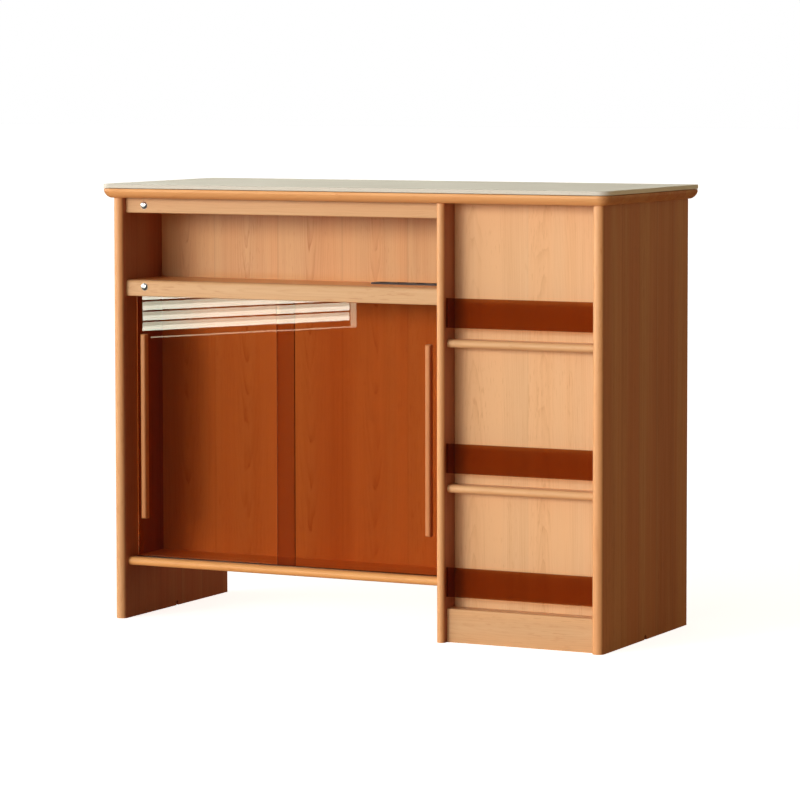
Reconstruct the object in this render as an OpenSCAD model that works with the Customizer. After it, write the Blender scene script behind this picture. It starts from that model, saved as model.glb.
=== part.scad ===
// Counter-height display cabinet: a stone-topped cherry carcass with an open niche, a shallow
// cabinet behind two sliding glass doors, and a three-tier magazine column with glass guards.
// Origin on the floor under the centre of the top. The doors face -Y, +Z is up, sizes in mm.

/* [Carcass] */
// Width over the two side panels
carcass_w = 1160; // [1060:10:1400]
// Depth of the side panels, from the round front edge to the rear edge
carcass_d = 460; // [360:10:600]
// Height of the side panels, from the floor to the underside of the wooden top
carcass_h = 920; // [880:5:1060]
// Thickness of the side panels
side_t = 25; // [20:1:32]
// Thickness of the divider between the cabinet and the column
divider_t = 18; // [17:1:25]
// Thickness of the cabinet shelves
shelf_t = 18; // [16:1:22]
// Thickness of the rails and of the plinth board, front to back
rail_t = 18; // [17:1:22]
// Thickness of the two back panels
back_t = 12; // [9:1:16]
// How far rails, shelves and plinth stand behind the front edges of the panels
recess = 18; // [16:1:24]
// Radius that eases the rear corners of the panels
ease_r = 2; // [1:0.5:4]

/* [Top] */
// Overhang of the top beyond the carcass on all four sides
overhang = 20; // [16:1:30]
// Thickness of the wooden top
top_t = 20; // [18:1:28]
// Height of the upright band along the edge of the wooden top
top_band = 6; // [4:0.5:8]
// Width of the bevel under the edge of the wooden top
top_bevel = 14; // [10:1:15]
// How far the bevel bulges out from its straight line
bevel_bulge = 2.25; // [0.5:0.25:3]
// Radius of the two front corners of the top in plan
top_corner_r = 25; // [18:1:40]
// Radius of the two rear corners of the top in plan
rear_corner_r = 18; // [17:1:40]
// How far the stone slab stands out beyond the wooden top all round
slab_lip = 1; // [0:0.5:2]
// Thickness of the stone slab
slab_t = 9; // [6:1:15]
// Size of the small bevel along the edges of the slab
slab_arris = 0.8; // [0.4:0.2:1.6]
// Thickness of the silicone beads between slab and wood
bead_t = 1; // [0.6:0.2:2]
// Width of one silicone bead
bead_w = 10; // [6:1:16]
// How far the beads stay back from the edge of the top
bead_inset = 30; // [20:5:50]

/* [Cabinet] */
// Clear width between the left side panel and the divider
bay_w = 757; // [640:1:800]
// Depth from the front edge of the panels to the back panel of the cabinet
bay_d = 170; // [160:5:260]
// Clear height under the bottom shelf
floor_gap = 116; // [80:2:160]
// Height of the upper front rail and of the rear rails
upper_rail_h = 33; // [30:1:45]
// Clear height of the open niche
niche_h = 146; // [110:2:200]
// Height of the rail along the front of the niche shelf
niche_rail_h = 35; // [34:1:45]
// Radius along the top front edge of the niche rail
niche_rail_r = 8; // [4:1:12]

/* [Sliding doors] */
// Thickness of the door glass
glass_t = 5; // [4:1:6]
// How far the two doors overlap when both are closed
door_overlap = 38; // [20:2:50]
// Length of the rubber stop between a closed door and the panel beside it
stop_l = 7; // [4:1:12]
// Play between a closed door and its stop
stop_play = 0.5; // [0.3:0.1:1]
// Play on each side of the glass in its channel
channel_play = 0.5; // [0.4:0.1:0.8]
// Thickness of the outer walls of the tracks
track_wall = 1.5; // [1.2:0.1:2]
// Thickness of the wall between the two channels
track_web = 3; // [2:0.5:5]
// Thickness of the floor of each track
track_floor = 2; // [1.5:0.5:3]
// Depth of the channels in the lower track
lower_channel = 6; // [4:0.5:8]
// Depth of the channels in the upper track
upper_channel = 13; // [12:0.5:14]
// Play under the lower edge of the glass
ride_play = 0.5; // [0.3:0.1:1]
// Size of the polished bevels along the edges of all glass
glass_arris = 0.5; // [0.3:0.1:0.8]

/* [Door handles] */
// Width of a handle
handle_w = 12; // [10:1:20]
// How far a handle stands out from the glass
handle_d = 15; // [10:1:18]
// Length of a handle
handle_l = 404; // [200:4:480]
// Distance from the outer edge of a door to its handle
handle_inset = 17; // [8:1:40]
// Radius along the front edges and ends of a handle
handle_r = 4; // [2:0.5:4.5]

/* [Magazine column] */
// Depth from the front edge of the panels to the back panel of the column
column_d = 55; // [52:1:90]
// Height of the base shelf and the plinth
base_h = 71; // [60:1:110]
// Height from the base shelf to the lower column shelf
lower_tier = 260; // [200:5:290]
// Height from the lower to the upper column shelf
upper_tier = 304; // [220:4:320]
// Thickness of the column shelves
column_shelf_t = 17; // [12:1:18]
// How far the column shelves stand behind the front edges of the panels
column_recess = 18; // [16:1:24]
// Height of a glass guard
guard_h = 62; // [40:2:90]
// Gap between a column shelf and the guard above it
guard_gap = 25; // [10:1:40]
// Distance from the front edges of the panels to the guards
guard_setback = 15; // [14:0.5:18]
// Thickness of the guard glass
guard_t = 5; // [4:1:6]
// Depth of the grooves that hold the guards
groove_d = 6; // [4:1:7]
// Play of a guard in its grooves
groove_play = 0.2; // [0.1:0.1:0.4]
// Radius along the top front edge of the plinth board
plinth_r = 3; // [2:1:6]

/* [Power strip] */
// Length of the power strip's cover
strip_l = 180; // [150:5:260]
// Width of the power strip's cover
strip_w = 38; // [34:1:50]
// Thickness of the cover
strip_t = 3; // [2:0.5:5]
// Depth of the body below the shelf's upper face
strip_body_d = 30; // [22:1:34]
// Width of the flange around the body
strip_flange = 4; // [3:0.5:6]
// Distance from the strip to the divider
strip_to_divider = 27; // [10:1:120]
// Distance from the strip to the back panel of the cabinet
strip_to_back = 25; // [15:1:40]
// Number of socket places
strip_sockets = 4; // [2:1:5]

/* [Fittings] */
// Diameter of a cam lock
cam_dia = 15; // [14:0.5:15]
// Depth of a cam lock
cam_depth = 12.5; // [12:0.5:13]
// Distance from the end of a board to the centre of its cam lock
cam_inset = 45; // [34:1:60]
// Width of the rim of a cam lock
cam_rim = 0.7; // [0.5:0.1:1]
// Height of that rim over the wood
cam_rim_h = 0.6; // [0.4:0.1:1]
// Length of the cross slot in the face of a cam lock
cam_slot_l = 9; // [6:0.5:10]
// Width of the cross slot
cam_slot_w = 1.8; // [1.2:0.2:2.4]
// Depth of the cross slot below the rim
cam_slot_d = 2; // [1:0.5:3]
// How far the cam lock of the niche rail sits above the middle of the rail
niche_cam_raise = 3; // [0:0.5:5]
// Diameter of the anchor of a cam bolt
anchor_dia = 7; // [6:0.5:8]
// Length of the anchor of a cam bolt in the panel
anchor_l = 12; // [10:1:14]
// Diameter of the shaft of a cam bolt
bolt_dia = 5; // [4:0.5:6]
// Diameter of a wooden dowel
dowel_dia = 8; // [6:1:8]
// Length of a dowel in the end of a board
dowel_in_board = 20; // [14:1:24]
// Length of a dowel in the face of a panel
dowel_in_face = 8; // [6:0.5:8]
// Play around dowels, cam locks and bolts
fit = 0.1; // [0.05:0.05:0.2]
// Diameter of the screws that hold the wooden top
screw_dia = 4.5; // [4:0.5:5]
// Diameter of their heads
screw_head = 9; // [8:0.5:10]
// How deep the heads sit in the rails
screw_sink = 8; // [6:1:12]
// How far the screws reach into the wooden top
screw_bite = 12; // [8:1:14]
// Width and height of the small notch under each side panel
notch = 10; // [6:1:16]

/* [Hidden] */
$fn = 48;
eps = 0.01;
past = 1;

// Faces of the panels
front_y = -carcass_d / 2;
rear_y = carcass_d / 2;
left_x = -carcass_w / 2;
right_x = carcass_w / 2;
bay_left = left_x + side_t;
bay_right = bay_left + bay_w;
column_left = bay_right + divider_t;
column_right = right_x - side_t;
column_w = column_right - column_left;

// Heights
upper_rail_z = carcass_h - upper_rail_h;
niche_z = upper_rail_z - niche_h;
niche_rail_z = niche_z - niche_rail_h;
bottom_shelf_top = floor_gap + shelf_t;
lower_column_z = base_h + lower_tier;
upper_column_z = lower_column_z + upper_tier;
slab_z = carcass_h + top_t + bead_t;
top_w = carcass_w + 2 * overhang;
top_d = carcass_d + 2 * overhang;

// Depths
rail_y = front_y + recess;
rail_back_y = rail_y + rail_t;
bay_back_y = front_y + bay_d;
column_back_y = front_y + column_d;
guard_y = front_y + guard_setback;
rear_rail_y = rear_y - recess - rail_t;

// Tracks and doors: the right door runs in the front channel, the left door in the rear one.
// The upper channel leaves room above the glass to lift a door out of the lower one
channel_w = glass_t + 2 * channel_play;
track_y = rail_back_y;
track_w = 2 * track_wall + 2 * channel_w + track_web;
front_glass_y = track_y + track_wall + channel_play;
rear_glass_y = front_glass_y + channel_w + track_web;
lower_track_h = lower_channel + track_floor;
upper_track_h = upper_channel + track_floor;
upper_track_z = niche_z - shelf_t - upper_track_h;
door_gap = stop_l + stop_play;
door_w = (bay_w + door_overlap) / 2 - door_gap;
door_bottom = bottom_shelf_top - lower_channel + ride_play;
door_top = upper_track_z + upper_channel - lower_channel;
left_door_x = bay_left + door_gap;
right_door_x = bay_right - door_gap - door_w;
handle_z = (bottom_shelf_top + niche_rail_z - handle_l) / 2;
stop_h = lower_channel - past;

// Power strip
strip_x = bay_right - strip_to_divider - strip_l;
strip_y = bay_back_y - strip_to_back - strip_w;
socket_pitch = (strip_l - 2 * strip_flange) / strip_sockets;
socket_w = strip_w - 3 * strip_flange;
well_d = strip_t / 2;

// Fittings. A site is [x of the joint, +1 or -1 towards the board, y, z]
cam_r = cam_dia / 2;
rail_mid_y = rail_y + rail_t / 2;
rear_rail_mid_y = rear_rail_y + rail_t / 2;
upper_rail_mid = upper_rail_z + upper_rail_h / 2;
niche_cam_z = niche_rail_z + niche_rail_h / 2 + niche_cam_raise;
bottom_mid = floor_gap + shelf_t / 2;
niche_mid = niche_z - shelf_t / 2;
bottom_cam_ys = [track_y + track_w + cam_dia, bay_back_y - cam_dia];
dowel_edge = dowel_dia;

// Cam locks: [y, z, rotation that turns the lock's face from -Y]
cams = concat(
    [[rail_mid_y, upper_rail_mid, 0], [rail_mid_y, niche_cam_z, 0]],
    [for (y = bottom_cam_ys) [y, bottom_mid, 90]],
    [[rear_rail_mid_y, upper_rail_mid, 180]]);

rail_dowels = concat(
    [for (z = [upper_rail_z + dowel_edge, carcass_h - dowel_edge]) for (y = [rail_mid_y, rear_rail_mid_y])
        [bay_right, -1, y, z]],
    [for (z = [niche_rail_z + dowel_edge, niche_z - dowel_edge - niche_rail_r / 2])
        [bay_right, -1, rail_mid_y, z]]);
rear_right_dowels = [for (z = [upper_rail_z + dowel_edge, carcass_h - dowel_edge])
    for (end = [[column_left, 1], [column_right, -1]])
        [end[0], end[1], rear_rail_mid_y, z]];
niche_dowels = [for (end = [[bay_left, 1], [bay_right, -1]])
    for (y = [rail_back_y + 2 * dowel_dia, bay_back_y - 2 * dowel_dia])
        [end[0], end[1], y, niche_mid]];
bottom_mid_y = (bottom_cam_ys[0] + bottom_cam_ys[1]) / 2;
bottom_dowels = concat(
    [[bay_left, 1, bottom_mid_y, bottom_mid]],
    [for (y = concat(bottom_cam_ys, [bottom_mid_y])) [bay_right, -1, y, bottom_mid]]);
plinth_dowels = [for (end = [[column_left, 1], [column_right, -1]])
    for (z = [base_h / 4, base_h * 3 / 4])
        [end[0], end[1], rail_mid_y, z]];
column_dowel_y = column_back_y - (column_d - column_recess - column_shelf_t / 2) / 2;
column_dowels = [for (end = [[column_left, 1], [column_right, -1]])
    for (z = [lower_column_z, upper_column_z])
        [end[0], end[1], column_dowel_y, z - column_shelf_t / 2]];
all_dowels = concat(rail_dowels, rear_right_dowels, niche_dowels, bottom_dowels,
    plinth_dowels, column_dowels);

// Screws that hold the wooden top: [x, y]
top_screw_spots = concat(
    [for (share = [0.2, 0.5, 0.8]) for (y = [rail_mid_y, rear_rail_mid_y])
        [bay_left + share * bay_w, y]],
    [for (share = [0.3, 0.7]) [column_left + share * column_w, rear_rail_mid_y]]);

// Guards: height of each guard's lower edge
guard_zs = [upper_column_z + guard_gap, lower_column_z + guard_gap, base_h + guard_gap];

cherry = "#D89A62";
amber = [0.55, 0.24, 0.07, 0.55];

// ---- shared shapes ----

// Extrudes a [y, z] outline along +X
module along_x(length) {
    rotate([90, 0, 90])
        linear_extrude(length)
            children();
}

// Outline of a board with a fully round front edge, front at y = 0
module nosed_outline(depth, thickness) {
    translate([thickness / 2, thickness / 2])
        circle(d = thickness);
    translate([thickness / 2, 0])
        square([depth - thickness / 2, thickness]);
}

// Outline of a board whose front edge is rounded at the top, at the bottom or both
module eased_outline(depth, height, top_r, bottom_r) {
    translate([0, bottom_r])
        square([depth, height - top_r - bottom_r]);
    translate([max(top_r, bottom_r), 0])
        square([depth - max(top_r, bottom_r), height]);
    if (top_r > 0) {
        translate([top_r, height - top_r])
            circle(top_r);
        translate([top_r, height / 2])
            square([depth - top_r, height / 2]);
    }
    if (bottom_r > 0) {
        translate([bottom_r, bottom_r])
            circle(bottom_r);
        translate([bottom_r, 0])
            square([depth - bottom_r, height / 2]);
    }
}

// Plan of an upright panel: round front edge, eased rear corners
module panel_outline(thickness) {
    translate([thickness / 2, thickness / 2])
        circle(d = thickness);
    translate([0, thickness / 2])
        square([thickness, carcass_d - thickness / 2 - ease_r]);
    translate([ease_r, thickness / 2])
        square([thickness - 2 * ease_r, carcass_d - thickness / 2]);
    for (x = [ease_r, thickness - ease_r])
        translate([x, carcass_d - ease_r])
            circle(ease_r);
}

module upright_panel(x, thickness) {
    translate([x, front_y, 0])
        linear_extrude(carcass_h)
            panel_outline(thickness);
}

// Board with round plan corners. Its edge follows the points of a profile, [outset, z] from the
// underside up, where an outset of 0 is the outermost line of the whole top
module rounded_board(profile) {
    half_w = top_w / 2;
    half_d = top_d / 2;
    rotate([90, 0, 90]) {
        linear_extrude(2 * (half_w - rear_corner_r), center = true)
            edge_section(half_d, profile);
        linear_extrude(2 * (half_w - top_corner_r), center = true)
            mirror([1, 0])
                edge_section(half_d, profile);
    }
    translate([0, half_d - rear_corner_r, 0])
        rotate([90, 0, 0])
            linear_extrude(top_d - top_corner_r - rear_corner_r)
                union() {
                    edge_section(half_w, profile);
                    mirror([1, 0])
                        edge_section(half_w, profile);
                }
    for (x = [-1, 1]) {
        translate([x * (half_w - top_corner_r), top_corner_r - half_d, 0])
            rounded_corner(top_corner_r, profile);
        translate([x * (half_w - rear_corner_r), half_d - rear_corner_r, 0])
            rounded_corner(rear_corner_r, profile);
    }
}

module rounded_corner(radius, profile) {
    rotate_extrude()
        polygon(concat([[0, profile[0][1]]], [for (p = profile) [radius + p[0], p[1]]],
            [[0, profile[len(profile) - 1][1]]]));
}

// Half of the section across a board, from just past its middle out to the edge
module edge_section(half, profile) {
    last = len(profile) - 1;
    polygon(concat([for (p = profile) [half + p[0], p[1]]],
        [[-past, profile[last][1]], [-past, profile[0][1]]]));
}

// Sheet of glass standing in the XZ plane with a small bevel on every edge
module glass_sheet(width, thickness, height) {
    intersection() {
        along_x(width)
            bevelled_bar(thickness, height);
        linear_extrude(height)
            bevelled_bar(width, thickness);
    }
}

// Rectangle with its four corners cut by the glass bevel
module bevelled_bar(width, height) {
    a = glass_arris;
    polygon([[a, 0], [width - a, 0], [width, a], [width, height - a], [width - a, height],
        [a, height], [0, height - a], [0, a]]);
}

// Hole or body of the dowels at a list of sites; extra is the play added all round
module dowels(sites, extra) {
    length = dowel_in_board + dowel_in_face + 2 * extra;
    for (s = sites)
        translate([s[0] + s[1] * (dowel_in_board - dowel_in_face) / 2, s[2], s[3]])
            rotate([0, 90, 0])
                cylinder(d = dowel_dia + 2 * extra, h = length, center = true, $fn = 24);
}

// Seats of the cam bolts: the anchor's bore in the panel and the shaft's bore in the board
module bolt_seats() {
    for (c = cams)
        translate([bay_left, c[0], c[1]])
            rotate([0, 90, 0]) {
                translate([0, 0, -anchor_l - fit])
                    cylinder(d = anchor_dia + 2 * fit, h = anchor_l + 2 * fit);
                cylinder(d = anchor_dia + 2 * fit, h = cam_inset);
            }
}

// Round seats of the cam locks, open towards the face that they sit in
module cam_seats(extra) {
    for (c = cams)
        translate([bay_left + cam_inset, c[0], c[1]])
            rotate([c[2], 0, 0])
                translate([0, -board_half(c), 0])
                    rotate([-90, 0, 0])
                        translate([0, 0, -past])
                            cylinder(r = cam_r + extra, h = cam_depth + extra + past);
}

// Half the thickness of the board that a cam lock sits in
function board_half(c) = (c[2] == 90 ? shelf_t : rail_t) / 2;

// Stopped grooves that hold the three guards, in both walls of the column
module guard_grooves() {
    for (z = guard_zs)
        translate([column_left - groove_d, guard_y - groove_play, z - groove_play])
            cube([column_w + 2 * groove_d, guard_t + 2 * groove_play, guard_h + 2 * groove_play]);
}

// Small arched notch across the bottom edge of a side panel
module bottom_notch(x) {
    translate([x - past, 0, 0])
        along_x(side_t + 2 * past) {
            translate([0, notch / 2])
                circle(d = notch);
            translate([-notch / 2, -past])
                square([notch, notch / 2 + past]);
        }
}

// Clearance bores for the screws that hold the top, with wide seats for their heads
module screw_bores() {
    for (p = top_screw_spots)
        translate([p[0], p[1], upper_rail_z - past]) {
            cylinder(d = screw_dia + 4 * fit, h = upper_rail_h + 2 * past, $fn = 24);
            cylinder(d = screw_head + 4 * fit, h = screw_sink + past, $fn = 24);
        }
}

// ---- top ----

module stone_top() {
    color("#D6D2C4")
        translate([0, 0, slab_z])
            rounded_board([[-slab_arris, 0], [0, slab_arris],
                [0, slab_t - slab_arris], [-slab_arris, slab_t]]);
}

module silicone_beads() {
    color("#4A4642")
        for (share = [0, 0.25, 0.5, 0.75, 1])
            translate([(share - 0.5) * (top_w - 2 * bead_inset) - bead_w / 2,
                bead_inset - top_d / 2, carcass_h + top_t])
                cube([bead_w, top_d - 2 * bead_inset, bead_t]);
}

// Points of the bevel under the wooden top: a chord with a shallow outward bow
bevel_drop = top_t - top_band;
bevel_chord = sqrt(bevel_drop * bevel_drop + top_bevel * top_bevel);
bevel_points = [for (i = [0:6])
    let (t = i / 6, bow = 4 * bevel_bulge * t * (1 - t))
        [-slab_lip - top_bevel * t + bow * bevel_drop / bevel_chord,
            bevel_drop * (1 - t) - bow * top_bevel / bevel_chord]];

module wood_top() {
    color(cherry)
        difference() {
            translate([0, 0, carcass_h])
                rounded_board(concat([for (i = [6:-1:0]) bevel_points[i]],
                    [[-slab_lip, top_t - slab_arris], [-slab_lip - slab_arris, top_t]]));
            for (p = top_screw_spots)
                translate([p[0], p[1], carcass_h - past])
                    cylinder(d = screw_dia + 2 * fit, h = screw_bite + past + fit, $fn = 24);
        }
}

// ---- uprights ----

module left_side_panel() {
    color(cherry)
        difference() {
            upright_panel(left_x, side_t);
            bottom_notch(left_x);
            bolt_seats();
            dowels(concat(niche_dowels, bottom_dowels), fit);
        }
}

module right_side_panel() {
    color(cherry)
        difference() {
            upright_panel(column_right, side_t);
            bottom_notch(column_right);
            guard_grooves();
            dowels(concat(rear_right_dowels, plinth_dowels, column_dowels), fit);
        }
}

module divider_panel() {
    color(cherry)
        difference() {
            upright_panel(bay_right, divider_t);
            guard_grooves();
            dowels(all_dowels, fit);
        }
}

// ---- cabinet ----

module upper_rail() {
    color(cherry)
        difference() {
            translate([bay_left, rail_y, upper_rail_z])
                along_x(bay_w)
                    eased_outline(rail_t, upper_rail_h, 0, ease_r);
            bolt_seats();
            cam_seats(fit);
            dowels(rail_dowels, fit);
            screw_bores();
        }
}

module niche_rail() {
    color(cherry)
        difference() {
            translate([bay_left, rail_y, niche_rail_z])
                along_x(bay_w)
                    eased_outline(rail_t, niche_rail_h, niche_rail_r, ease_r);
            bolt_seats();
            cam_seats(fit);
            dowels(rail_dowels, fit);
        }
}

module niche_shelf() {
    color(cherry)
        difference() {
            translate([bay_left, rail_back_y, niche_z - shelf_t])
                cube([bay_w, bay_back_y - rail_back_y, shelf_t]);
            dowels(niche_dowels, fit);
            translate([strip_x + strip_flange - fit, strip_y + strip_flange - fit,
                niche_z - shelf_t - past])
                cube([strip_l - 2 * strip_flange + 2 * fit, strip_w - 2 * strip_flange + 2 * fit,
                    shelf_t + 2 * past]);
        }
}

module bottom_shelf() {
    color(cherry)
        difference() {
            translate([bay_left, rail_y, floor_gap])
                along_x(bay_w)
                    difference() {
                        nosed_outline(bay_d - recess, shelf_t);
                        translate([track_y - rail_y - fit, shelf_t - lower_track_h])
                            square([track_w + 2 * fit, lower_track_h + past]);
                    }
            bolt_seats();
            cam_seats(fit);
            dowels(bottom_dowels, fit);
        }
}

module cabinet_back_panel() {
    color(cherry)
        translate([bay_left, bay_back_y, floor_gap])
            cube([bay_w, back_t, carcass_h - floor_gap]);
}

// ---- magazine column ----

module column_back_panel() {
    color(cherry)
        translate([column_left, column_back_y, 0])
            cube([column_w, back_t, carcass_h]);
}

module column_shelf(top_z) {
    color(cherry)
        difference() {
            translate([column_left, front_y + column_recess, top_z - column_shelf_t])
                along_x(column_w)
                    nosed_outline(column_d - column_recess, column_shelf_t);
            dowels(column_dowels, fit);
        }
}

module upper_column_shelf() {
    column_shelf(upper_column_z);
}

module lower_column_shelf() {
    column_shelf(lower_column_z);
}

module base_shelf() {
    color(cherry)
        translate([column_left, rail_back_y, base_h - shelf_t])
            cube([column_w, column_back_y - rail_back_y, shelf_t]);
}

module plinth_board() {
    color(cherry)
        difference() {
            translate([column_left, rail_y, 0])
                along_x(column_w)
                    eased_outline(rail_t, base_h, plinth_r, 0);
            dowels(plinth_dowels, fit);
        }
}

module guard_glass(bottom_z) {
    reach = groove_d - groove_play;
    color(amber)
        translate([column_left - reach, guard_y, bottom_z])
            glass_sheet(column_w + 2 * reach, guard_t, guard_h);
}

module upper_guard_glass() {
    guard_glass(guard_zs[0]);
}

module middle_guard_glass() {
    guard_glass(guard_zs[1]);
}

module lower_guard_glass() {
    guard_glass(guard_zs[2]);
}

// ---- rear ----

module rear_rail(x, width) {
    color(cherry)
        difference() {
            translate([x, rear_rail_y, upper_rail_z])
                cube([width, rail_t, upper_rail_h]);
            bolt_seats();
            cam_seats(fit);
            dowels(concat(rail_dowels, rear_right_dowels), fit);
            screw_bores();
        }
}

module rear_rail_left() {
    rear_rail(bay_left, bay_w);
}

module rear_rail_right() {
    rear_rail(column_left, column_w);
}

// ---- sliding doors ----

// Section of a two-channel track with its floor at z = 0
module track_outline(channel_h) {
    difference() {
        square([track_w, track_floor + channel_h]);
        for (i = [0, 1])
            translate([track_wall + i * (channel_w + track_web), track_floor])
                square([channel_w, channel_h + past]);
    }
}

module upper_track() {
    color("#3A2A20")
        translate([bay_left, track_y, upper_track_z + upper_track_h])
            along_x(bay_w)
                mirror([0, 1])
                    track_outline(upper_channel);
}

module lower_track() {
    color("#3A2A20")
        translate([bay_left, track_y, bottom_shelf_top - lower_track_h])
            along_x(bay_w)
                track_outline(lower_channel);
}

// Rubber blocks in the lower channels: rear channel at the left end, front channel at the right
module door_stops() {
    color("#1E1C1A")
        for (end = [[bay_left, rear_glass_y], [bay_right - stop_l, front_glass_y]])
            translate([end[0], end[1] - channel_play + fit, bottom_shelf_top - lower_channel])
                cube([stop_l, channel_w - 2 * fit, stop_h]);
}

module door_glass(x, y) {
    color(amber)
        translate([x, y, door_bottom])
            glass_sheet(door_w, glass_t, door_top - door_bottom);
}

// Upright bar, flat where it is bonded to the glass and rounded in front and at both ends
module handle(x, glass_y) {
    color("#E0AC78")
        translate([x, glass_y - handle_d, handle_z])
            intersection() {
                linear_extrude(handle_l)
                    front_rounded(handle_w, handle_d);
                along_x(handle_w)
                    end_rounded(handle_d, handle_l);
            }
}

module front_rounded(width, depth) {
    translate([0, handle_r])
        square([width, depth - handle_r]);
    translate([handle_r, 0])
        square([width - 2 * handle_r, depth]);
    for (x = [handle_r, width - handle_r])
        translate([x, handle_r])
            circle(handle_r);
}

module end_rounded(depth, length) {
    translate([handle_r, 0])
        square([depth - handle_r, length]);
    translate([0, handle_r])
        square([depth, length - 2 * handle_r]);
    for (z = [handle_r, length - handle_r])
        translate([handle_r, z])
            circle(handle_r);
}

module left_door_glass() {
    door_glass(left_door_x, rear_glass_y);
}

module left_door_handle() {
    handle(left_door_x + handle_inset, rear_glass_y);
}

module right_door_glass() {
    door_glass(right_door_x, front_glass_y);
}

module right_door_handle() {
    handle(right_door_x + door_w - handle_inset - handle_w, front_glass_y);
}

// ---- power strip ----

module power_strip_body() {
    wall = strip_flange / 2;
    length = strip_l - 2 * strip_flange;
    width = strip_w - 2 * strip_flange;
    color("#2B2A2C")
        translate([strip_x + strip_flange, strip_y + strip_flange, niche_z - strip_body_d])
            difference() {
                cube([length, width, strip_body_d]);
                translate([wall, wall, wall])
                    cube([length - 2 * wall, width - 2 * wall, strip_body_d]);
            }
}

module power_strip_cover() {
    color("#3C3A3C")
        translate([strip_x, strip_y, niche_z])
            difference() {
                linear_extrude(strip_t)
                    plate_outline(strip_l, strip_w, strip_flange);
                for (i = [0:strip_sockets - 1])
                    translate([strip_flange + (i + 0.5) * socket_pitch, strip_w / 2, strip_t - well_d])
                        cylinder(d = socket_w, h = well_d + past);
            }
}

// Rectangle with round corners
module plate_outline(width, depth, radius) {
    translate([radius, 0])
        square([width - 2 * radius, depth]);
    translate([0, radius])
        square([width, depth - 2 * radius]);
    for (x = [radius, width - radius], y = [radius, depth - radius])
        translate([x, y])
            circle(radius);
}

// ---- fittings ----

// Cam locks: a drum with a thin rim, a cross slot in its face and a side mouth for the bolt
module cam_locks() {
    color("#C9CDD1")
        for (c = cams)
            translate([bay_left + cam_inset, c[0], c[1]])
                difference() {
                    rotate([c[2], 0, 0])
                        translate([0, -board_half(c), 0])
                            rotate([-90, 0, 0])
                                difference() {
                                    union() {
                                        cylinder(r = cam_r, h = cam_depth);
                                        translate([0, 0, -cam_rim_h])
                                            cylinder(r = cam_r + cam_rim, h = cam_rim_h);
                                    }
                                    for (turn = [0, 90])
                                        rotate([0, 0, turn])
                                            translate([-cam_slot_l / 2, -cam_slot_w / 2,
                                                -past - cam_rim_h])
                                                cube([cam_slot_l, cam_slot_w,
                                                    past + cam_rim_h + cam_slot_d]);
                                }
                    rotate([0, -90, 0])
                        cylinder(d = anchor_dia + 2 * fit, h = cam_dia);
                    sphere(d = anchor_dia + 2 * fit);
                }
}

// Cam bolts: an anchor in the panel, a shaft through the board and a round head in the lock
module cam_bolts() {
    color("#B4B7BA")
        for (c = cams)
            translate([bay_left, c[0], c[1]])
                rotate([0, 90, 0]) {
                    translate([0, 0, -anchor_l])
                        cylinder(d = anchor_dia, h = anchor_l, $fn = 32);
                    translate([0, 0, -past])
                        cylinder(d = bolt_dia, h = cam_inset + past, $fn = 32);
                    translate([0, 0, cam_inset])
                        sphere(d = anchor_dia);
                }
}

module wood_dowels() {
    color("#C98F5A")
        dowels(all_dowels, 0);
}

module top_screws() {
    color("#B4B7BA")
        for (p = top_screw_spots)
            translate([p[0], p[1], upper_rail_z + screw_sink]) {
                cylinder(d = screw_dia, h = upper_rail_h - screw_sink + screw_bite, $fn = 24);
                translate([0, 0, -screw_dia / 2])
                    cylinder(d = screw_head, h = screw_dia / 2, $fn = 24);
            }
}

stone_top();
silicone_beads();
wood_top();
left_side_panel();
right_side_panel();
divider_panel();
upper_rail();
niche_rail();
niche_shelf();
bottom_shelf();
cabinet_back_panel();
column_back_panel();
upper_column_shelf();
lower_column_shelf();
base_shelf();
plinth_board();
upper_guard_glass();
middle_guard_glass();
lower_guard_glass();
rear_rail_left();
rear_rail_right();
upper_track();
lower_track();
door_stops();
left_door_glass();
left_door_handle();
right_door_glass();
right_door_handle();
power_strip_body();
power_strip_cover();
cam_locks();
cam_bolts();
wood_dowels();
top_screws();
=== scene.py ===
import math

import bmesh
import bpy
from mathutils import Matrix, Vector


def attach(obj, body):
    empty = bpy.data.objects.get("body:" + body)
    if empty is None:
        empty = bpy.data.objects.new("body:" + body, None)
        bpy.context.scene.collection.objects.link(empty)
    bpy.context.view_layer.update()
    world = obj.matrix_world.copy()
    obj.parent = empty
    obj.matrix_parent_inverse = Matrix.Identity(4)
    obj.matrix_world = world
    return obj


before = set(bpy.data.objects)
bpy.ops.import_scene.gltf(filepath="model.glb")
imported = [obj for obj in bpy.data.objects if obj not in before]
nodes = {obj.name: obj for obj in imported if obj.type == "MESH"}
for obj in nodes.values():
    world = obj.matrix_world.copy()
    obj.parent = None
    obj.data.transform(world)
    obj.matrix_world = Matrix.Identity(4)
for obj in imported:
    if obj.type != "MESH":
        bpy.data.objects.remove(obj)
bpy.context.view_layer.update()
print("frame loaded:", len(nodes), "nodes")

# Place and reach in metres, angles in degrees, lens in millimetres, drop as a share of the picture
cameraLook = {
    "place": (3.5322, -7.0223, 1.1960),
    "turn": 26.676,
    "tilt": -3.927,
    "roll": -0.080,
    "lens": 164.107,
    "drop": -0.10,
    "reach": 100,
}


def makeCamera():
    data = bpy.data.cameras.new("camera")
    data.lens = cameraLook["lens"]
    data.shift_y = cameraLook["drop"]
    data.clip_end = cameraLook["reach"]
    camera = bpy.data.objects.new("camera", data)
    bpy.context.collection.objects.link(camera)
    camera.matrix_world = (
        Matrix.Translation(cameraLook["place"])
        @ Matrix.Rotation(math.radians(cameraLook["turn"]), 4, "Z")
        @ Matrix.Rotation(math.radians(90 + cameraLook["tilt"]), 4, "X")
        @ Matrix.Rotation(math.radians(cameraLook["roll"]), 4, "Z")
    )
    bpy.context.scene.camera = camera


makeCamera()
print("camera placed")


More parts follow.
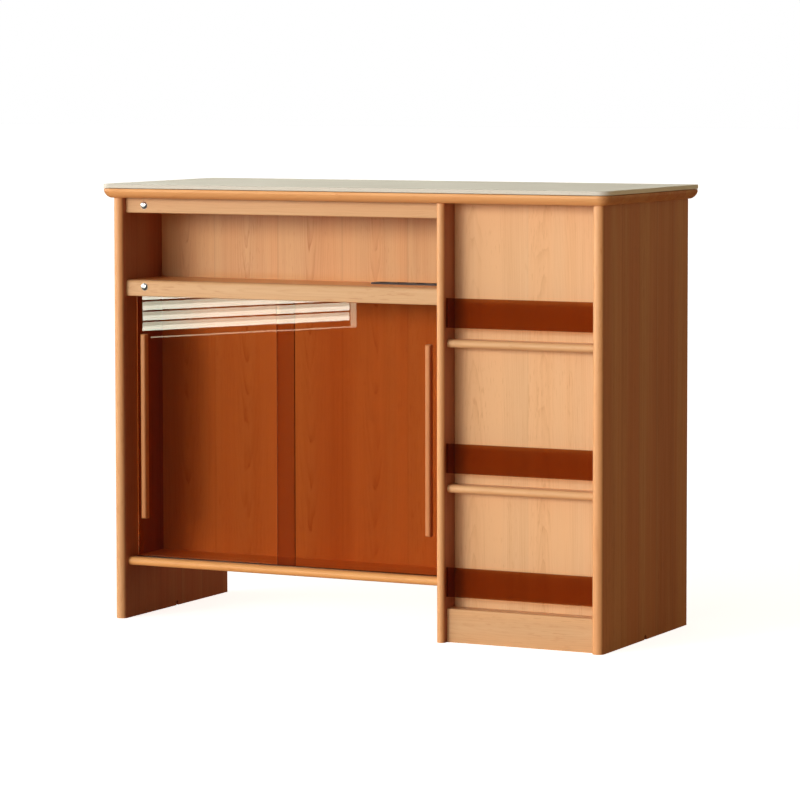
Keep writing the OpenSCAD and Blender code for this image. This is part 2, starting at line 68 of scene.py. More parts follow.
class NodeBuilder:
    # puts nodes into one tree and wires them: a tuple or number sets a socket, a socket links to it
    def __init__(self, tree):
        self.tree = tree

    def add(self, kind, settings=None, **sockets):
        node = self.tree.nodes.new(kind)
        for key, value in (settings or {}).items():
            setattr(node, key, value)
        for key, value in sockets.items():
            self.join(value, node.inputs[key.replace("_", " ")])
        return node

    def join(self, value, socket):
        if isinstance(value, bpy.types.NodeSocket):
            self.tree.links.new(value, socket)
        else:
            socket.default_value = value

    def inOrder(self, node, *values):
        for value, socket in zip(values, node.inputs):
            if value is not None:
                self.join(value, socket)
        return node.outputs[0]

    def math(self, operation, first, second=None, third=None, clamp=False):
        node = self.add("ShaderNodeMath", {"operation": operation, "use_clamp": clamp})
        return self.inOrder(node, first, second, third)

    def vector(self, operation, first, second):
        return self.inOrder(self.add("ShaderNodeVectorMath", {"operation": operation}), first, second)

    def mix(self, share, first, second, blend="MIX"):
        node = self.add("ShaderNodeMix", {"data_type": "RGBA", "blend_type": blend})
        for value, index in ((share, 0), (first, 6), (second, 7)):  # 6 and 7 are its colours
            self.join(value, node.inputs[index])
        return node.outputs[2]

    def mixShaders(self, share, first, second):
        return self.inOrder(self.add("ShaderNodeMixShader"), share, first, second)

    def ramp(self, value, stops, interpolation="LINEAR"):
        node = self.add("ShaderNodeValToRGB")
        node.color_ramp.interpolation = interpolation
        elements = node.color_ramp.elements
        while len(elements) < len(stops):
            elements.new(0.5)
        for element, (place, level) in zip(elements, stops):
            element.position = place
            element.color = grey(level)
        return self.inOrder(node, value)

    def noise(self, where, waves, detail=2.0, roughness=0.5, distortion=0.0, shift=(0, 0, 0), jump=None):
        # waves per metre on each axis come from the mapping, so the noise itself stays at 1
        spread = self.add("ShaderNodeMapping", Vector=where, Location=shift, Scale=waves).outputs[0]
        return self.add(
            "ShaderNodeTexNoise",
            {"noise_dimensions": "3D"},
            Vector=spread if jump is None else self.vector("ADD", spread, jump),
            Scale=1.0,
            Detail=detail,
            Roughness=roughness,
            Distortion=distortion,
        ).outputs["Fac"]

    def bump(self, height, strength, distance):
        return self.add("ShaderNodeBump", Height=height, Strength=strength, Distance=distance).outputs[0]


def grey(level):
    return (level, level, level, 1)


def solid(colour, level=1.0):
    return (*[channel * level for channel in colour], 1)


def emptyMaterial(name):
    material = bpy.data.materials.new(name)
    material.use_nodes = True
    material.node_tree.nodes.clear()
    return material, NodeBuilder(material.node_tree)


def newMaterial(name):
    material, build = emptyMaterial(name)
    shader = build.add("ShaderNodeBsdfPrincipled")
    output = build.add("ShaderNodeOutputMaterial", Surface=shader.outputs[0])
    return material, build, shader, output


def objectCoordinates(build):
    return build.add("ShaderNodeTexCoord").outputs["Object"]


def dress(nodeName, material):
    mesh = nodes[nodeName].data
    mesh.materials.clear()
    mesh.materials.append(material)


# Cherry tones are linear colours: the pale and the deep end of a board, and its olive staves. Some tones are
# painted light and shade: darker copies of the same cherry for shaded faces and recesses, and a paler copy
# for the lit front edges
woodTones = {
    # The side and inside tones are painted shade: darker copies of the cherry for faces turned away from the
    # lamps
    "side": {"pale": (0.47, 0.164, 0.052), "deep": (0.34, 0.102, 0.027), "olive": (0.51, 0.225, 0.082)},
    "shadedInside": {"pale": (0.38, 0.108, 0.044), "deep": (0.27, 0.063, 0.021), "olive": (0.40, 0.144, 0.066)},
    # The nose tone is painted light: a paler, lit copy of the cherry for the panels' front edges
    "litNose": {"pale": (0.80, 0.39, 0.155), "deep": (0.60, 0.245, 0.08), "olive": (0.76, 0.41, 0.18)},
    "front": {"pale": (0.70, 0.400, 0.185), "deep": (0.52, 0.240, 0.090), "olive": (0.665, 0.405, 0.20)},
    "back": {"pale": (0.78, 0.445, 0.210), "deep": (0.60, 0.285, 0.11), "olive": (0.76, 0.455, 0.225)},
    # The inner tone is painted shade: a darker, redder copy of the cherry for the boards deep inside the
    # niche and the cabinet
    "shadedInner": {"pale": (0.67, 0.325, 0.124), "deep": (0.49, 0.195, 0.060), "olive": (0.65, 0.345, 0.142)},
    "shelf": {"pale": (0.88, 0.420, 0.136), "deep": (0.68, 0.265, 0.067), "olive": (0.86, 0.445, 0.156)},
    "handle": {"pale": (0.63, 0.248, 0.085), "deep": (0.44, 0.142, 0.040), "olive": (0.59, 0.252, 0.091)},
    "top": {"pale": (0.88, 0.420, 0.150), "deep": (0.66, 0.255, 0.075), "olive": (0.82, 0.435, 0.175)},
    "dowel": {"pale": (0.66, 0.45, 0.26), "deep": (0.52, 0.32, 0.17), "olive": (0.62, 0.44, 0.27)},
}
# How much each part of the figure darkens the wood, and the level taken off them all
woodFigure = {"rings": 0.30, "bands": 0.28, "streaks": 0.28, "flecks": 0.38, "staves": 0.20, "level": 0.28}
# Noise behind each part: waves per metre along the grain and across it, and the shade that its values give
woodNoise = {
    "wobble": {"along": 5.0, "across": 28.0, "detail": 3.0, "roughness": 0.55},
    "breaks": {
        "along": 9.0, "across": 60.0, "detail": 2.0, "roughness": 0.5, "stops": [(0.36, 0.15), (0.62, 1.0)],
    },
    "bands": {
        "along": 0.7, "across": 22.0, "detail": 2.0, "roughness": 0.5, "stops": [(0.34, 0.0), (0.66, 1.0)],
    },
    "streaks": {
        "along": 3.0, "across": 150.0, "detail": 3.0, "roughness": 0.65, "stops": [(0.3, 0.0), (0.7, 1.0)],
    },
    "olives": {
        "along": 0.5, "across": 15.0, "detail": 1.0, "roughness": 0.5, "stops": [(0.42, 0.0), (0.62, 1.0)],
    },
    "dashes": {
        "along": 42.0, "across": 330.0, "detail": 1.0, "roughness": 0.5, "stops": [(0.60, 0.0), (0.70, 1.0)],
    },
    "patches": {
        "along": 4.0, "across": 16.0, "detail": 1.0, "roughness": 0.5, "stops": [(0.42, 0.0), (0.62, 1.0)],
    },
    "fibres": {"along": 24.0, "across": 900.0, "detail": 1.0, "roughness": 0.5},
}
# Growth rings: pitch in metres, how they lean, and their shade from one ring to the next. Their dark tips
# fade with distance from the heart line, in metres
ringLook = {
    "pitch": 0.0046,
    "slope": 0.055,
    "shade": [(0.0, 0.0), (0.45, 0.05), (0.80, 0.55), (0.92, 1.0), (1.0, 0.0)],
    "tips": [(0.0, 1.0), (0.007, 0.6), (0.014, 0.0)],
}
# Where a stave's heart line runs across it, how high the arches start, how wavy and how dark their tips are,
# and how dark the glue line is
cuts = {
    "mixed": {
        "heart": 0.2, "heartSpread": 0.6, "tip": -0.1, "tipSpread": 1.1,
        "wobble": 0.016, "tips": 0.0, "seam": 0.25,
    },
    "centred": {
        "heart": 0.45, "heartSpread": 0.1, "tip": 1.0, "tipSpread": 0.14,
        "wobble": 0.012, "tips": 0.8, "seam": 0.2,
    },
    "arched": {
        "heart": 0.2, "heartSpread": 0.5, "tip": -0.25, "tipSpread": 0.15,
        "wobble": 0.012, "tips": 0.15, "seam": 0.08,
    },
}
# Staves: the first one's number, the steps that keep boards and staves apart, and the glue line's half width
# in metres and its level beside the deep tone
staveLook = {
    "first": 50.0, "seedStep": 13.1, "jump": 7.0, "shift": (1.7, 2.3, 3.1), "seam": 0.003, "seamTone": 0.6,
}
# The oiled surface: satin, with a thin coat, and flecks sunk below the fibres
woodFinish = {
    "roughness": 0.34, "streakRoughness": 0.16, "fleckHeight": -0.6, "bump": 0.07, "bumpDepth": 0.0002,
    "ior": 1.45, "coat": 0.22, "coatRoughness": 0.22,
}
# The panels' front edges get painted light, a paler lit tone than their shaded faces: it changes from start
# to end, y in metres
paintedNoseLight = {
    "boards": ("left_side_panel", "right_side_panel", "divider_panel"), "tone": "litNose",
    "start": -0.2268, "end": -0.222,
}
# The top's ends get painted shade, the darker side tone of faces turned away from the lamps: it changes from
# start to end, distance from the middle in metres
paintedEndShade = {"boards": ("wood_top",), "tone": "side", "start": 0.575, "end": 0.600}
axisIndex = {"x": 0, "y": 1, "z": 2}


def cherry(name, tone, cut, grain, across, staveWidth, firstSeam, seed):
    material, build, shader, _ = newMaterial("cherry_" + name)
    where = objectCoordinates(build)
    parts = build.add("ShaderNodeSeparateXYZ", Vector=where)
    acrossValue = parts.outputs[axisIndex[across]]
    grainValue = parts.outputs[axisIndex[grain]]
    cutLook = cuts[cut]

    # three random numbers for each glued stave
    origin = staveLook["first"] - firstSeam / staveWidth
    place = build.math("MULTIPLY_ADD", acrossValue, 1 / staveWidth, origin)
    stave = build.math("FLOOR", place)
    within = build.math("FRACT", place)
    number = build.math("ADD", stave, seed * staveLook["seedStep"])
    random = build.add("ShaderNodeTexWhiteNoise", {"noise_dimensions": "1D"}, W=number)
    chance = build.add("ShaderNodeSeparateColor", Color=random.outputs["Color"])
    jump = build.vector("MULTIPLY", random.outputs["Color"], (staveLook["jump"],) * 3)

    def figure(part):
        look = woodNoise[part]
        waves = [look["across"]] * 3
        waves[axisIndex[grain]] = look["along"]
        shift = [seed * step for step in staveLook["shift"]]
        value = build.noise(where, waves, look["detail"], look["roughness"], shift=shift, jump=jump)
        return build.ramp(value, look["stops"]) if "stops" in look else value

    # rings: distance from a heart line that leans through the board, so the face shows long nested arches
    heart = build.math("MULTIPLY_ADD", chance.outputs[0], -cutLook["heartSpread"], -cutLook["heart"])
    fromHeart = build.math("MULTIPLY", build.math("ADD", within, heart), staveWidth)
    tipPlace = build.math("MULTIPLY_ADD", chance.outputs[1], cutLook["tipSpread"], cutLook["tip"])
    depth = build.math("MULTIPLY", build.math("SUBTRACT", grainValue, tipPlace), ringLook["slope"])
    acrossSquare = build.math("MULTIPLY", fromHeart, fromHeart)
    depthSquare = build.math("MULTIPLY", depth, depth)
    distance = build.math("SQRT", build.math("ADD", acrossSquare, depthSquare))
    radius = build.math("MULTIPLY_ADD", figure("wobble"), cutLook["wobble"], distance)
    rings = build.math("FRACT", build.math("MULTIPLY", radius, 1 / ringLook["pitch"]))
    ringShade = build.math("MULTIPLY", build.ramp(rings, ringLook["shade"], "EASE"), figure("breaks"))
    nearHeart = build.ramp(build.math("ABSOLUTE", fromHeart), ringLook["tips"])
    tipShade = build.math("MULTIPLY", build.math("MULTIPLY", nearHeart, cutLook["tips"]), ringShade)

    streaks, olives, fibres = [figure(part) for part in ("streaks", "olives", "fibres")]
    flecks = build.math("MULTIPLY", figure("dashes"), figure("patches"))
    shades = {"bands": figure("bands"), "streaks": streaks, "flecks": flecks, "staves": chance.outputs[2]}
    shade = build.math("MULTIPLY_ADD", ringShade, woodFigure["rings"], tipShade)
    for part, value in shades.items():
        shade = build.math("MULTIPLY_ADD", value, woodFigure[part], shade)
    shade = build.math("SUBTRACT", shade, woodFigure["level"], clamp=True)

    def shaded(toneName):
        colours = woodTones[toneName]
        pale = build.mix(olives, solid(colours["pale"]), solid(colours["olive"]))
        return build.mix(shade, pale, solid(colours["deep"]))

    def reached(value, look):
        change = build.add("ShaderNodeMapRange", Value=value, From_Min=look["start"], From_Max=look["end"])
        return change.outputs[0]

    colour = shaded(tone)
    # painted light: the panels' front edges take the paler, lit nose tone
    if name in paintedNoseLight["boards"]:
        back = reached(parts.outputs[1], paintedNoseLight)
        colour = build.mix(back, shaded(paintedNoseLight["tone"]), colour)
    # painted shade: the top's ends take the darker side tone
    if name in paintedEndShade["boards"]:
        paintedEndShare = reached(build.math("ABSOLUTE", parts.outputs[0]), paintedEndShade)
        colour = build.mix(paintedEndShare, colour, shaded(paintedEndShade["tone"]))

    # thin darker glue line between staves
    edge = build.math("ABSOLUTE", build.math("SUBTRACT", within, 0.5))
    line = build.ramp(edge, [(0.5 - staveLook["seam"] / staveWidth, 0.0), (0.5, 1.0)])
    seam = build.math("MULTIPLY", line, cutLook["seam"])
    colour = build.mix(seam, colour, solid(woodTones[tone]["deep"], staveLook["seamTone"]))

    build.join(colour, shader.inputs["Base Color"])
    roughness = build.math("MULTIPLY_ADD", streaks, woodFinish["streakRoughness"], woodFinish["roughness"])
    build.join(roughness, shader.inputs["Roughness"])
    height = build.math("MULTIPLY_ADD", flecks, woodFinish["fleckHeight"], fibres)
    build.join(build.bump(height, woodFinish["bump"], woodFinish["bumpDepth"]), shader.inputs["Normal"])
    shader.inputs["IOR"].default_value = woodFinish["ior"]
    shader.inputs["Coat Weight"].default_value = woodFinish["coat"]
    shader.inputs["Coat Roughness"].default_value = woodFinish["coatRoughness"]
    return material


# For each board: tone, cut, grain direction, direction across the staves, and in metres the width of a stave
# and the place of one seam
# The side, inside and inner tones given here are painted shade, darker copies for shaded faces and deep
# boards
boards = {
    "wood_top": ("top", "mixed", "x", "y", 0.085, 0.0),
    "left_side_panel": ("shadedInside", "mixed", "z", "y", 0.093, 0.02),
    "right_side_panel": ("side", "mixed", "z", "y", 0.093, 0.057),
    "divider_panel": ("shadedInside", "mixed", "z", "y", 0.105, 0.03),
    "upper_rail": ("front", "mixed", "x", "z", 0.20, 0.80),
    "niche_rail": ("front", "mixed", "x", "z", 0.20, 0.60),
    "niche_shelf": ("shelf", "mixed", "x", "y", 0.09, 0.01),
    "bottom_shelf": ("shelf", "mixed", "x", "y", 0.09, 0.04),
    "cabinet_back_panel": ("shadedInner", "centred", "z", "x", 0.158, -0.105),
    "column_back_panel": ("back", "arched", "z", "x", 0.168, 0.22),
    "upper_column_shelf": ("back", "mixed", "x", "y", 0.10, 0.0),
    "lower_column_shelf": ("back", "mixed", "x", "y", 0.10, 0.02),
    "base_shelf": ("shadedInner", "mixed", "x", "y", 0.10, 0.04),
    "plinth_board": ("front", "mixed", "x", "z", 0.15, -0.02),
    "rear_rail_left": ("side", "mixed", "x", "z", 0.20, -0.02),
    "rear_rail_right": ("side", "mixed", "x", "z", 0.20, -0.02),
    "left_door_handle": ("handle", "mixed", "z", "x", 0.10, 0.0),
    "right_door_handle": ("handle", "mixed", "z", "x", 0.10, 0.0),
    "wood_dowels": ("dowel", "mixed", "x", "y", 0.10, 0.0),
}
for seed, (boardName, board) in enumerate(boards.items()):
    dress(boardName, cherry(boardName, *board, seed + 1.0))
print("boards dressed:", len(boards))

# Amber glass: the share of light that one pane lets through, and how its tint wanders from there
glassLook = {
    "door": {"passes": (0.67, 0.405, 0.22), "panes": ("left_door_glass", "right_door_glass")},
    "guard": {
        "passes": (0.425, 0.183, 0.062),
        "panes": ("upper_guard_glass", "middle_guard_glass", "lower_guard_glass"),
    },
    "ior": 1.45,
    "clouds": {"waves": (6.0, 6.0, 9.0), "detail": 1.0},
    "darker": 0.97,
    "paler": 1.03,
    "faces": 2.0,  # the front face mirrors for both
    "broad": 0.7,  # a face that looks this much along Y is broad
}


def tintedGlass(name, passes):
    material, build, shader, output = newMaterial(name)
    shader.inputs["Transmission Weight"].default_value = 1.0
    shader.inputs["IOR"].default_value = glassLook["ior"]
    shader.inputs["Roughness"].default_value = 0.0
    clouds = build.noise(objectCoordinates(build), **glassLook["clouds"])
    tint = build.mix(clouds, solid(passes, glassLook["darker"]), solid(passes, glassLook["paler"]))
    build.join(tint, shader.inputs["Base Color"])

    # a broad face seen directly, and any face lamps shine through, is a clear sheet that mirrors a little
    clear = build.add("ShaderNodeBsdfTransparent", Color=solid([math.sqrt(channel) for channel in passes]))
    rays = build.add("ShaderNodeLightPath")
    geometry = build.add("ShaderNodeNewGeometry")
    facing = build.add("ShaderNodeSeparateXYZ", Vector=geometry.outputs["Normal"])
    broad = build.math("GREATER_THAN", build.math("ABSOLUTE", facing.outputs[1]), glassLook["broad"])
    outer = build.math("SUBTRACT", 1.0, geometry.outputs["Backfacing"])
    seen = build.math("MULTIPLY", rays.outputs["Is Camera Ray"], broad)
    share = build.add("ShaderNodeFresnel", IOR=glassLook["ior"]).outputs[0]
    share = build.math("MULTIPLY", share, glassLook["faces"])
    share = build.math("MULTIPLY", share, build.math("MULTIPLY", outer, seen))
    mirror = build.add("ShaderNodeBsdfGlossy", Roughness=0.0)
    sheet = build.mixShaders(share, clear.outputs[0], mirror.outputs[0])
    lit = build.math("MAXIMUM", rays.outputs["Is Shadow Ray"], rays.outputs["Is Diffuse Ray"])
    build.join(build.mixShaders(build.math("MAXIMUM", lit, seen), shader.outputs[0], sheet), output.inputs[0])
    return material


for kind in ("door", "guard"):
    glass = tintedGlass("amber_" + kind + "_glass", glassLook[kind]["passes"])
    for paneName in glassLook[kind]["panes"]:
        dress(paneName, glass)
print("glass dressed")

stoneLook = {
    "pale": (0.70, 0.67, 0.575),
    "dark": (0.60, 0.57, 0.48),
    "speck": (0.42, 0.39, 0.33),
    "clouds": {"waves": (5.0, 5.0, 5.0), "detail": 6.0, "roughness": 0.6, "distortion": 0.6},
    "grains": {"waves": (900.0, 900.0, 900.0)},
    "specks": {"waves": (330.0, 330.0, 330.0), "detail": 1.0},
    "speckStops": [(0.66, 0.0), (0.74, 1.0)],
    "cloudShare": 0.7,
    "grainShare": 0.35,
    "speckShare": 0.35,
    "roughness": 0.34,
    "cloudRoughness": 0.14,
    "bump": 0.15,
    "bumpDepth": 0.0002,
}


def sinteredStone(name, look):
    material, build, shader, _ = newMaterial(name)
    where = objectCoordinates(build)
    clouds, grains, specks = [build.noise(where, **look[part]) for part in ("clouds", "grains", "specks")]
    specks = build.ramp(specks, look["speckStops"])
    cloudShare = build.math("MULTIPLY", clouds, look["cloudShare"])
    share = build.math("MULTIPLY_ADD", grains, look["grainShare"], cloudShare, clamp=True)
    colour = build.mix(share, solid(look["pale"]), solid(look["dark"]))
    colour = build.mix(build.math("MULTIPLY", specks, look["speckShare"]), colour, solid(look["speck"]))
    build.join(colour, shader.inputs["Base Color"])
    roughness = build.math("MULTIPLY_ADD", clouds, look["cloudRoughness"], look["roughness"])
    build.join(roughness, shader.inputs["Roughness"])
    build.join(build.bump(grains, look["bump"], look["bumpDepth"]), shader.inputs["Normal"])
    return material


dress("stone_top", sinteredStone("sintered_stone", stoneLook))

# Plastics, rubber and silicone: grain in waves per metre on each axis, and how deep it shows
mouldedLooks = {
    "silicone": {
        "colour": (0.05, 0.045, 0.04), "roughness": 0.55, "grain": (500.0, 500.0, 500.0), "bump": 0.2,
        "pieces": ("silicone_beads",),
    },
    "track_plastic": {
        "colour": (0.055, 0.03, 0.018), "roughness": 0.42, "grain": (14.0, 700.0, 700.0), "bump": 0.15,
        "pieces": ("upper_track", "lower_track"),
    },
    "stop_rubber": {
        "colour": (0.02, 0.019, 0.018), "roughness": 0.7, "grain": (900.0, 900.0, 900.0), "bump": 0.3,
        "pieces": ("door_stops",),
    },
    "strip_plastic": {
        "colour": (0.026, 0.023, 0.023), "roughness": 0.5, "grain": (1600.0, 1600.0, 1600.0), "bump": 0.35,
        "pieces": ("power_strip_body", "power_strip_cover"),
    },
}
mouldedShared = {
    "clouds": (14.0, 14.0, 14.0), "darker": 0.86, "lighter": 1.12,
    "grainRoughness": 0.12, "bumpDepth": 0.0002,
}


def moulded(name, look):
    material, build, shader, _ = newMaterial(name)
    where = objectCoordinates(build)
    grains = build.noise(where, look["grain"])
    clouds = build.noise(where, mouldedShared["clouds"])
    darker, lighter = [solid(look["colour"], mouldedShared[end]) for end in ("darker", "lighter")]
    build.join(build.mix(clouds, darker, lighter), shader.inputs["Base Color"])
    roughness = build.math("MULTIPLY_ADD", grains, mouldedShared["grainRoughness"], look["roughness"])
    build.join(roughness, shader.inputs["Roughness"])
    build.join(build.bump(grains, look["bump"], mouldedShared["bumpDepth"]), shader.inputs["Normal"])
    return material


for lookName, look in mouldedLooks.items():
    plastic = moulded(lookName, look)
    for pieceName in look["pieces"]:
        dress(pieceName, plastic)

metalLooks = {
    "plated_zinc": {"colour": (0.80, 0.81, 0.82), "roughness": 0.22},
    "cover_chrome": {"colour": (0.80, 0.84, 0.86), "roughness": 0.20},
}
metalShared = {
    "scratches": (900.0, 900.0, 160.0), "clouds": (120.0, 120.0, 120.0), "darker": 0.88,
    "scratchRoughness": 0.18, "bump": 0.1, "bumpDepth": 0.0001,
}


def platedMetal(name):
    look = metalLooks[name]
    material, build, shader, _ = newMaterial(name)
    where = objectCoordinates(build)
    scratches = build.noise(where, metalShared["scratches"])
    clouds = build.noise(where, metalShared["clouds"])
    colour = build.mix(clouds, solid(look["colour"], metalShared["darker"]), solid(look["colour"]))
    build.join(colour, shader.inputs["Base Color"])
    shader.inputs["Metallic"].default_value = 1.0
    roughness = build.math("MULTIPLY_ADD", scratches, metalShared["scratchRoughness"], look["roughness"])
    build.join(roughness, shader.inputs["Roughness"])
    build.join(build.bump(scratches, metalShared["bump"], metalShared["bumpDepth"]), shader.inputs["Normal"])
    return material


zinc = platedMetal("plated_zinc")
for metalName in ("cam_locks", "cam_bolts", "top_screws"):
    dress(metalName, zinc)
print("stone, plastics and metal dressed")

# Domed covers on the front connector heads, with sizes and places in metres, on the two rails' faces.
# The profile runs from the middle of the back round the rim to the top of the dome, in shares of the
# radius and of the rise
covers = {
    "x": -0.510,
    "face": -0.212,
    "heights": (0.9035, 0.7265),
    "radius": 0.0080,
    "rise": 0.0030,
    "flange": 0.0004,
    "steps": 40,
    "profile": (
        (0.0, 0.0), (1.0, 0.0), (0.97, 0.22), (0.88, 0.46),
        (0.74, 0.68), (0.55, 0.85), (0.30, 0.96), (0.0, 1.0),
    ),
    "merge": 0.000001,
}


def makeCovers():
    mesh = bpy.data.meshes.new("connector_covers")
    build = bmesh.new()
    for height in covers["heights"]:
        middle = Vector((covers["x"], covers["face"] - covers["flange"], height))
        corners = [
            build.verts.new(middle + Vector((covers["radius"] * reach, -covers["rise"] * lift, 0.0)))
            for reach, lift in covers["profile"]
        ]
        edges = [build.edges.new(pair) for pair in zip(corners, corners[1:])]
        bmesh.ops.spin(
            build,
            geom=corners + edges,
            cent=middle,
            axis=(0, 1, 0),
            angle=math.tau,
            steps=covers["steps"],
            use_merge=True,
        )
    bmesh.ops.remove_doubles(build, verts=build.verts, dist=covers["merge"])
    bmesh.ops.recalc_face_normals(build, faces=build.faces)
    for face in build.faces:
        face.smooth = face.normal.y < 0

    # merging leaves the faces in any order, so they are put in the order of their corners
    build.verts.index_update()
    around = {face: sorted(vert.index for vert in face.verts) for face in build.faces}
    order = {face: place for place, face in enumerate(sorted(around, key=around.get))}
    build.faces.sort(key=order.get)
    build.to_mesh(mesh)
    build.free()
    caps = bpy.data.objects.new("connector_covers", mesh)
    bpy.context.collection.objects.link(caps)
    mesh.materials.append(platedMetal("cover_chrome"))
    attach(caps, "carcass")


makeCovers()
print("connector covers made")

# The eye and the mirrored ray towards the back left see white, and the rest is a dim warm room. A lean is a
# direction, and how far a ray has to lean that way (1 is all the way) for its part of the room to start and
# to be full
room = {
    "base": (0.022, 0.013, 0.007),
    "sideGlow": (1.10, 0.84, 0.45),
    "ceiling": (0.24, 0.215, 0.18),
    "mirroredDim": 0.25,
    "mirroredBack": (2.3, 2.28, 2.0),
    "mirroredLeft": (6.5, 6.5, 6.0),
    "leans": {
        "side": ((0.5, 0.87, 0.0), 0.2, 0.85),
        "above": ((0.0, 0.0, 1.0), 0.45, 0.85),
        "backLeft": ((-0.73, 0.68, 0.0), 0.78, 0.97),
        "left": ((-1.0, 0.0, 0.0), 0.55, 0.85),
    },
}
# Half size in metres, and levels for the eye, for light that bounces and for mirrored rays
floorLook = {"half": 60.0, "albedo": 0.9, "glow": 0.80, "bounced": (0.85, 0.60, 0.41), "mirrored": 0.06}
# Angles in degrees
suns = {
    "key": {"turn": -28, "height": 10, "strength": 1.65, "softness": 22, "shines": False},
    "front": {"turn": -8, "height": 8, "strength": 0.95, "softness": 30, "shines": True},
    "window": {"turn": -60, "height": 12, "strength": 1.0, "softness": 40, "shines": True},
}


def makeFloor():
    mesh = bpy.data.meshes.new("floor")
    build = bmesh.new()
    bmesh.ops.create_grid(build, x_segments=1, y_segments=1, size=floorLook["half"])
    build.to_mesh(mesh)
    build.free()
    floor = bpy.data.objects.new("floor", mesh)
    bpy.context.collection.objects.link(floor)
    material, make = emptyMaterial("floor_paint")
    rays = make.add("ShaderNodeLightPath")
    seen = make.math("MAXIMUM", rays.outputs["Is Camera Ray"], rays.outputs["Is Transmission Ray"])
    pale = make.add("ShaderNodeBsdfDiffuse", Color=grey(floorLook["albedo"]))
    glow = make.add("ShaderNodeEmission", Color=grey(1), Strength=floorLook["glow"])
    bright = make.inOrder(make.add("ShaderNodeAddShader"), pale.outputs[0], glow.outputs[0])
    level = make.mix(rays.outputs["Is Glossy Ray"], solid(floorLook["bounced"]), grey(floorLook["mirrored"]))
    dim = make.add("ShaderNodeBsdfDiffuse", Color=level)
    make.add("ShaderNodeOutputMaterial", Surface=make.mixShaders(seen, dim.outputs[0], bright))
    mesh.materials.append(material)


def makeWorld():
    world = bpy.data.worlds.new("room")
    bpy.context.scene.world = world
    world.use_nodes = True
    world.node_tree.nodes.clear()
    make = NodeBuilder(world.node_tree)
    rays = make.add("ShaderNodeLightPath")
    direction = make.add("ShaderNodeTexCoord").outputs["Generated"]

    def lean(name):
        towards, start, end = room["leans"][name]
        node = make.add("ShaderNodeVectorMath", {"operation": "DOT_PRODUCT"})
        make.inOrder(node, direction, towards)
        value = make.math("MULTIPLY_ADD", node.outputs["Value"], 0.5, 0.5)  # from -1..1 to 0..1
        return make.ramp(value, [(start * 0.5 + 0.5, 0.0), (end * 0.5 + 0.5, 1.0)])

    glossy = rays.outputs["Is Glossy Ray"]
    fill = make.mix(lean("side"), solid(room["base"]), solid(room["sideGlow"]))
    fill = make.mix(lean("above"), fill, solid(room["ceiling"]))
    dimmed = make.mix(1.0, fill, grey(room["mirroredDim"]), "MULTIPLY")
    dimmed = make.mix(lean("left"), dimmed, solid(room["mirroredLeft"]))
    fill = make.mix(glossy, fill, dimmed)
    mirrored = make.math("MULTIPLY", glossy, lean("backLeft"))
    seen = make.math("MAXIMUM", rays.outputs["Is Camera Ray"], rays.outputs["Is Transmission Ray"])
    white = make.mix(glossy, grey(1), solid(room["mirroredBack"]))
    colour = make.mix(make.math("MAXIMUM", seen, mirrored), fill, white)
    background = make.add("ShaderNodeBackground", Color=colour)
    make.add("ShaderNodeOutputWorld", Surface=background.outputs[0])


def towardsLight(turn, height):
    turn, height = math.radians(turn), math.radians(height)
    return Vector((math.sin(turn) * math.cos(height), -math.cos(turn) * math.cos(height), math.sin(height)))


def makeSuns():
    for sunName, look in suns.items():
        lamp = bpy.data.lights.new(sunName, "SUN")
        lamp.energy = look["strength"]
        lamp.angle = math.radians(look["softness"])
        sun = bpy.data.objects.new(sunName, lamp)
        bpy.context.collection.objects.link(sun)
        sun.visible_glossy = look["shines"]
        sun.rotation_mode = "QUATERNION"
        sun.rotation_quaternion = towardsLight(look["turn"], look["height"]).to_track_quat("Z", "Y")


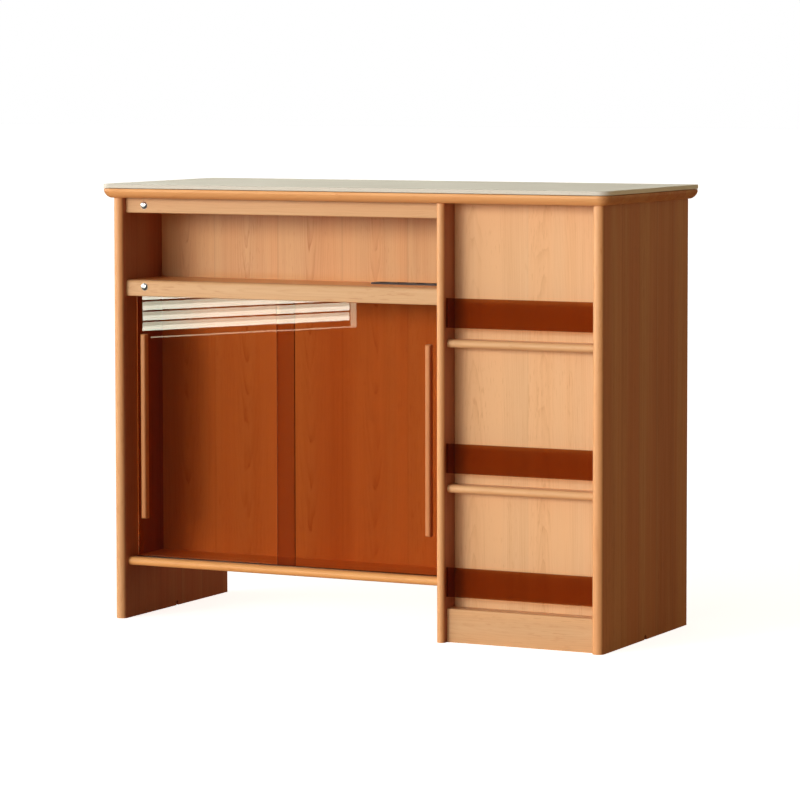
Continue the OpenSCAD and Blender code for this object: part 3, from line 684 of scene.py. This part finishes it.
# A window with a slatted blind stands in front on the left, and only shiny things show it. Sizes in metres:
# foot is a point of it at the bottom slat's lower edge, and run is the level direction from there
blind = {
    "foot": (-1.82, -2.333, 0.449),
    "run": (0.442, -0.897),
    "start": -0.5,
    "end": 0.757,
    "slats": 6,
    "pitch": 0.0295,
    "slat": 0.0245,
    "litShare": 0.55,
    "glow": 12.6,
    "sillDrop": 0.018,
    "sill": 0.004,
    "post": 0.026,
    "postGap": 0.004,
}
# In slot order: colour, and share of the glow
blindPaints = {
    "lit_slat": ((0.975, 0.985, 0.79), 1.0),
    "grey_slat": ((0.96, 0.955, 0.71), 0.6),
    "window_frame": ((1.0, 0.90, 0.60), 0.4),
}
litSlot, greySlot, frameSlot = range(3)


def glowing(name, colour, strength):
    material, make = emptyMaterial(name)
    lit = make.add("ShaderNodeEmission", Color=solid(colour), Strength=strength)
    make.add("ShaderNodeOutputMaterial", Surface=lit.outputs[0])
    return material


def makeBlind():
    mesh = bpy.data.meshes.new("blind")
    build = bmesh.new()
    foot = Vector(blind["foot"])
    run = Vector((*blind["run"], 0)).normalized()

    def strip(start, end, low, high, slot):
        middle = foot + run * (start + end) / 2 + Vector((0, 0, (low + high) / 2))
        sides = Matrix((run * (end - start), (0, 0, high - low), run.cross((0, 0, 1))))
        stretch = sides.transposed().to_4x4()
        grid = bmesh.ops.create_grid(
            build, x_segments=1, y_segments=1, size=0.5, matrix=Matrix.Translation(middle) @ stretch
        )
        for face in {face for vert in grid["verts"] for face in vert.link_faces}:
            face.material_index = slot

    start, end = blind["start"], blind["end"]
    for index in range(blind["slats"]):
        low = index * blind["pitch"]
        split = low + blind["slat"] * blind["litShare"]
        strip(start, end, low, split, litSlot)
        strip(start, end, split, low + blind["slat"], greySlot)
    sillTop = -blind["sillDrop"]
    strip(start, end + blind["post"], sillTop - blind["sill"], sillTop, frameSlot)
    strip(end + blind["postGap"], end + blind["post"], sillTop, blind["slats"] * blind["pitch"], frameSlot)
    build.to_mesh(mesh)
    build.free()
    window = bpy.data.objects.new("blind", mesh)
    bpy.context.collection.objects.link(window)
    for paintName, (colour, share) in blindPaints.items():
        mesh.materials.append(glowing(paintName, colour, blind["glow"] * share))
    window.visible_camera = False
    window.visible_diffuse = False
    window.visible_transmission = False
    window.visible_shadow = False


makeBlind()
makeFloor()
makeWorld()
makeSuns()
bpy.context.scene.view_settings.view_transform = "Standard"
print("room lit")
